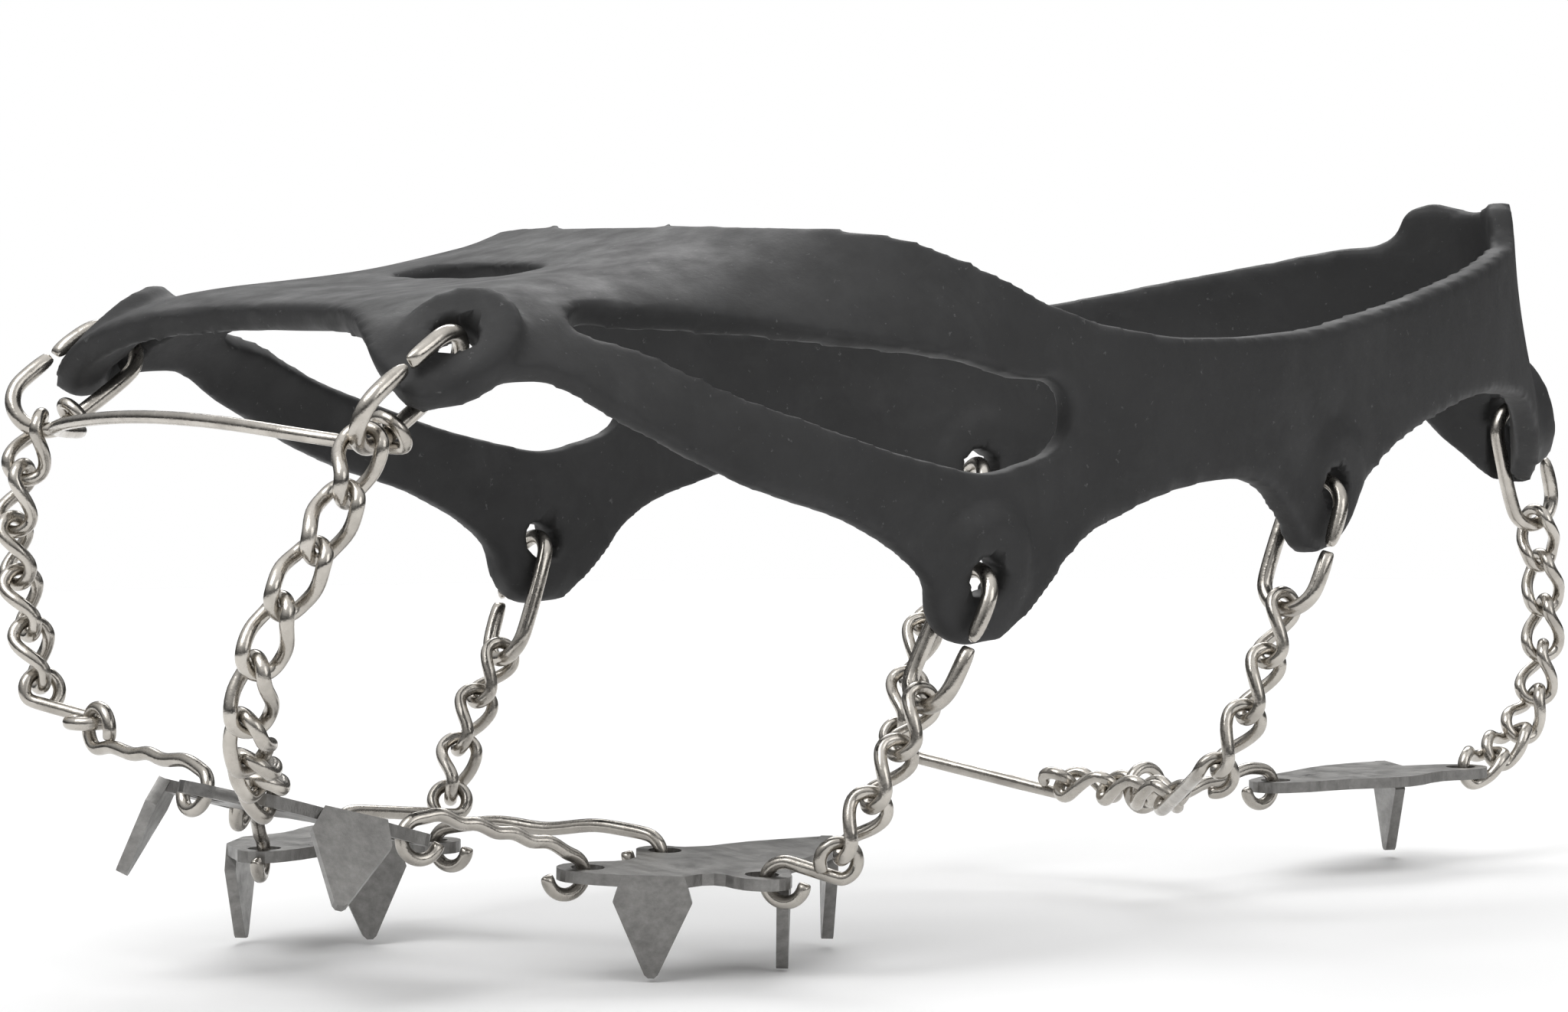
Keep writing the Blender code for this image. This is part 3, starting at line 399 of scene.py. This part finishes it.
# ---------------------------------------------------------------- pieces
def copied(node, name):
    """A new piece that starts as a welded copy of a node's mesh, with flat neighbours joined to quads."""
    bm = bmesh.new()
    bm.from_mesh(NODES[node].data)
    bmesh.ops.remove_doubles(bm, verts=bm.verts[:], dist=0.00002)
    bmesh.ops.join_triangles(bm, faces=bm.faces[:], angle_face_threshold=math.radians(25),
                             angle_shape_threshold=math.radians(60))
    mesh = bpy.data.meshes.new(name)
    bm.to_mesh(mesh)
    bm.free()
    piece = bpy.data.objects.new(name, mesh)
    bpy.context.scene.collection.objects.link(piece)
    return piece


def settle(piece):
    """The modifiers become the mesh."""
    mesh = bpy.data.meshes.new_from_object(piece.evaluated_get(bpy.context.evaluated_depsgraph_get()))
    piece.modifiers.clear()
    piece.data = mesh
    for face in mesh.polygons:
        face.use_smooth = True
    return piece


def stands_for(piece, node):
    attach(piece, node)
    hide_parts(node)


def round_wire(node, mat, swell):
    piece = copied(node, node + "_round")
    smooth = piece.modifiers.new("round", "SUBSURF")
    smooth.levels = smooth.render_levels = 2
    grow = piece.modifiers.new("full", "DISPLACE")
    grow.strength, grow.mid_level = swell * MM, 0.0
    settle(piece)
    piece.data.materials.append(mat)
    stands_for(piece, node)


def broad_ways(mesh):
    """The directions that the widest faces of a stamping look: those of its plate and of its spikes."""
    ways = []
    for face in sorted(mesh.polygons, key=lambda f: -f.area):
        if face.area > BROAD_FACE and all(abs(face.normal.dot(way)) < 0.95 for way in ways):
            ways.append(face.normal.copy())
    return ways


def plate(node):
    piece = copied(node, node + "_stamping")
    round_over = piece.modifiers.new("edge", "BEVEL")
    round_over.width, round_over.segments, round_over.limit_method = PLATE_EDGE * MM, 2, "ANGLE"
    round_over.angle_limit = math.radians(40)
    mesh = bpy.data.meshes.new_from_object(piece.evaluated_get(bpy.context.evaluated_depsgraph_get()))
    piece.modifiers.clear()
    piece.data = mesh
    piece.data.materials.append(STEEL)
    piece.data.materials.append(STEEL_EDGE)
    broad = broad_ways(mesh)
    for face in mesh.polygons:
        flat = max(abs(face.normal.dot(way)) for way in broad)
        face.material_index = 0 if flat > 0.9 else 1
    stands_for(piece, node)


# ---------------------------------------------------------------- the harness
def smooth_outline(curve, points):
    spline = curve.splines.new("BEZIER")
    spline.bezier_points.add(len(points) - 1)
    for knot, p in zip(spline.bezier_points, points):
        knot.co = (p.x, p.y, 0)
        knot.handle_left_type = knot.handle_right_type = "AUTO"
    spline.use_cyclic_u = True


def flat_pattern():
    """The harness laid flat: its outline and openings filled as one flat mesh, which harness() then cuts finely
    enough to bend smoothly.
    """
    curve = bpy.data.curves.new("harness_pattern", "CURVE")
    curve.dimensions, curve.fill_mode, curve.resolution_u = "2D", "BOTH", 8
    smooth_outline(curve, LOWER_EDGE + mirrored(LOWER_EDGE)[1:-1])
    smooth_outline(curve, UPPER_EDGE + mirrored(UPPER_EDGE)[1:-1])
    smooth_outline(curve, SIDE_OPENING)
    smooth_outline(curve, mirrored(SIDE_OPENING))
    smooth_outline(curve, TOP_SLOT + mirrored(TOP_SLOT)[1:-1])
    flat = bpy.data.objects.new("harness_pattern", curve)
    bpy.context.scene.collection.objects.link(flat)
    bpy.context.view_layer.update()
    mesh = bpy.data.meshes.new_from_object(flat.evaluated_get(bpy.context.evaluated_depsgraph_get()))
    bpy.data.objects.remove(flat, do_unlink=True)
    return mesh


def oval(bm, frame, half_width, half_length, thick, rounding):
    """An oval pad with rounded rims, turned from its profile into a mesh."""
    profile = [(0.0, thick / 2), (1 - rounding, thick / 2)]
    for k in range(1, 6):
        a = math.pi / 2 * k / 5
        profile.append((1 - rounding + rounding * math.sin(a), thick / 2 - PAD_RIM * (1 - math.cos(a))))
    profile += [(r, -h) for r, h in reversed(profile)]
    rings = []
    for r, h in profile[1:-1]:
        turns = [math.tau * k / PAD_SIDES for k in range(PAD_SIDES)]
        places = [Vector((r * half_width * math.cos(t), r * half_length * math.sin(t), h)) for t in turns]
        rings.append([bm.verts.new((frame @ place) * MM) for place in places])
    for low, high in zip(rings, rings[1:]):
        for k in range(PAD_SIDES):
            after = (k + 1) % PAD_SIDES
            bm.faces.new((low[k], low[after], high[after], high[k]))
    bm.faces.new(rings[0])
    bm.faces.new(rings[-1])


def new_piece(name, bm):
    bmesh.ops.recalc_face_normals(bm, faces=bm.faces[:])
    mesh = bpy.data.meshes.new(name)
    bm.to_mesh(mesh)
    bm.free()
    piece = bpy.data.objects.new(name, mesh)
    bpy.context.scene.collection.objects.link(piece)
    return piece


def shell(flat, thick):
    """The band: each point of the flat pattern gives one place on the shoe and one outside it."""
    band = bmesh.new()
    near, far = {}, {}
    for v in flat.verts:
        here, out = surface_frame(v.co.x, v.co.y)
        near[v] = band.verts.new(spot(*here) * MM)
        far[v] = band.verts.new(spot(*(here + out * thick)) * MM)
    for face in flat.faces:
        band.faces.new([far[v] for v in face.verts])
        band.faces.new([near[v] for v in reversed(face.verts)])
    for edge in flat.edges:
        if edge.is_boundary:
            a, b = edge.verts
            band.faces.new((near[a], near[b], far[b], far[a]))
    bmesh.ops.recalc_face_normals(band, faces=band.faces[:])
    return band


def harness():
    mesh = flat_pattern()
    bm = bmesh.new()
    bm.from_mesh(mesh)
    for way in (Vector((1, 0, 0)), Vector((0, 1, 0))):
        at = -170.0
        while at < 170:
            everything = bm.verts[:] + bm.edges[:] + bm.faces[:]
            bmesh.ops.bisect_plane(bm, geom=everything, dist=0.02, plane_co=way * at, plane_no=way)
            at += FINE_STEP
    bmesh.ops.remove_doubles(bm, verts=bm.verts[:], dist=FINE_MERGE)
    piece = new_piece("harness_moulding", shell(bm, BAND_THICK - SKIN))
    bm.free()
    bm = bmesh.new()
    bm.from_mesh(piece.data)
    for name in BOSSES:
        where, _ = eyelet(name)
        oval(bm, where, BOSS_HALF_WIDTH - SKIN, BOSS_HALF_LENGTH - SKIN, BOSS_THICK, 0.22)
    bm.to_mesh(piece.data)
    bm.free()
    grid = piece.modifiers.new("grid", "REMESH")
    grid.mode, grid.voxel_size = "VOXEL", VOXEL * MM
    settle(piece)
    bm = bmesh.new()
    for name in BOSSES:
        where, _ = eyelet(name)
        oval(bm, where, EYELET_RADIUS + HOLE_ROOM, EYELET_RADIUS + HOLE_ROOM, BOSS_THICK * 2, 0.05)
        for face in (-1, 1):
            room = where @ Matrix.Translation((0, LINK_ROOM_DROP, face * (BOSS_THICK + LINK_ROOM_DEEP) / 2))
            oval(bm, room, LINK_ROOM_HALF + POCKET_ROOM, LINK_ROOM_REACH, LINK_ROOM_DEEP, 0.1)
    cutter = new_piece("eyelet_holes", bm)
    hole = piece.modifiers.new("holes", "BOOLEAN")
    hole.operation, hole.solver, hole.object, hole.use_self = "DIFFERENCE", "EXACT", cutter, True
    settle(piece)
    bpy.data.objects.remove(cutter, do_unlink=True)
    soft = piece.modifiers.new("soft", "SMOOTH")
    soft.factor, soft.iterations = 0.5, 5
    settle(piece)
    piece.data.materials.clear()
    piece.data.materials.append(RUBBER)
    stands_for(piece, "harness")


set_pulls()
harness()
for node in NODES:
    if node.startswith("chain"):
        round_wire(node, NICKEL, CHAIN_SWELL)
    elif node.startswith("eyelet_link") or node == "toe_bail":
        round_wire(node, NICKEL, EYELET_SWELL)
    elif node.startswith(("wire", "connector")):
        round_wire(node, NICKEL_DULL, WIRE_SWELL)
    elif node.startswith("spike_plate"):
        plate(node)


# ---------------------------------------------------------------- floor, light and camera
FLOOR_RADIUS = 0.75


def make_floor():
    mesh = bpy.data.meshes.new("floor")
    bm = bmesh.new()
    bmesh.ops.create_circle(bm, cap_ends=True, segments=96, radius=FLOOR_RADIUS)
    bm.to_mesh(mesh)
    bm.free()
    floor = bpy.data.objects.new("floor", mesh)
    floor.location.z = CAD_BOX[0][2] - 0.0004
    bpy.context.scene.collection.objects.link(floor)
    s = Shader("studio_floor", (0.9, 0.9, 0.9), 0.7, 0.0)
    s.colour(s.ramp(s.noise(3, 2), [(0.3, (0.89, 0.89, 0.89)), (0.7, (0.91, 0.91, 0.91))]))
    mesh.materials.append(s.mat)


def make_world():
    """White behind the object, and for its gloss a bright ceiling over a darker room."""
    world = bpy.data.worlds.new("studio")
    bpy.context.scene.world = world
    world.use_nodes = True
    tree = world.node_tree
    back = tree.nodes["Background"]
    where = tree.nodes.new("ShaderNodeTexCoord")
    split = tree.nodes.new("ShaderNodeSeparateXYZ")
    ramp = tree.nodes.new("ShaderNodeValToRGB")
    stops = [(0.0, 0.30), (0.46, 0.07), (0.56, 0.05), (0.72, 0.55), (1.0, 1.15)]
    while len(ramp.color_ramp.elements) < len(stops):
        ramp.color_ramp.elements.new(0.5)
    for element, (at, value) in zip(ramp.color_ramp.elements, stops):
        element.position, element.color = at, (value, value, value, 1)
    height = tree.nodes.new("ShaderNodeMapRange")
    height.inputs["From Min"].default_value = -1.0
    seen = tree.nodes.new("ShaderNodeLightPath")
    mix = tree.nodes.new("ShaderNodeMix")
    mix.data_type = "RGBA"
    mix.inputs[7].default_value = (1, 1, 1, 1)
    tree.links.new(where.outputs["Generated"], split.inputs[0])
    tree.links.new(split.outputs["Z"], height.inputs["Value"])
    tree.links.new(height.outputs["Result"], ramp.inputs["Fac"])
    tree.links.new(seen.outputs["Is Camera Ray"], mix.inputs[0])
    tree.links.new(ramp.outputs["Color"], mix.inputs[6])
    tree.links.new(mix.outputs[2], back.inputs["Color"])
    back.inputs["Strength"].default_value = 1.0


def area(name, at, target, size, power):
    data = bpy.data.lights.new(name, "AREA")
    data.shape, data.size, data.size_y, data.energy = "RECTANGLE", size[0], size[1], power
    lamp = bpy.data.objects.new(name, data)
    bpy.context.scene.collection.objects.link(lamp)
    z = (Vector(at) - Vector(target)).normalized()
    lamp.matrix_world = Matrix.Translation(at) @ z.to_track_quat("Z", "Y").to_matrix().to_4x4()


FOCAL, AZIMUTH, PITCH, ROLL = 115.65, math.radians(53.78), math.radians(2.89), math.radians(-0.41)
CAMERA_AT = Vector((0.57006, -0.42660, 0.07979))


def make_camera():
    camera = bpy.data.objects.new("camera", bpy.data.cameras.new("camera"))
    bpy.context.scene.collection.objects.link(camera)
    camera.data.lens, camera.data.sensor_width, camera.data.clip_start = FOCAL, 36.0, 0.01
    z = Vector((math.sin(AZIMUTH) * math.cos(PITCH), -math.cos(AZIMUTH) * math.cos(PITCH), math.sin(PITCH)))
    x = Vector((0, 0, 1)).cross(z).normalized()
    turn = Matrix((x, z.cross(x), z)).transposed().to_4x4() @ Matrix.Rotation(ROLL, 4, "Z")
    camera.matrix_world = Matrix.Translation(CAMERA_AT) @ turn
    bpy.context.scene.camera = camera


make_floor()
make_world()
area("key", (0.1, -0.9, 1.3), (0, 0, 0.03), (0.9, 0.9), 9.5)
area("fill", (1.3, 0.3, 0.7), (0, 0, 0.03), (0.8, 0.8), 3.0)
area("rim", (-0.8, 0.6, 0.9), (0, 0, 0.04), (0.8, 0.5), 5.0)
make_camera()
bpy.context.scene.view_settings.view_transform = "Standard"
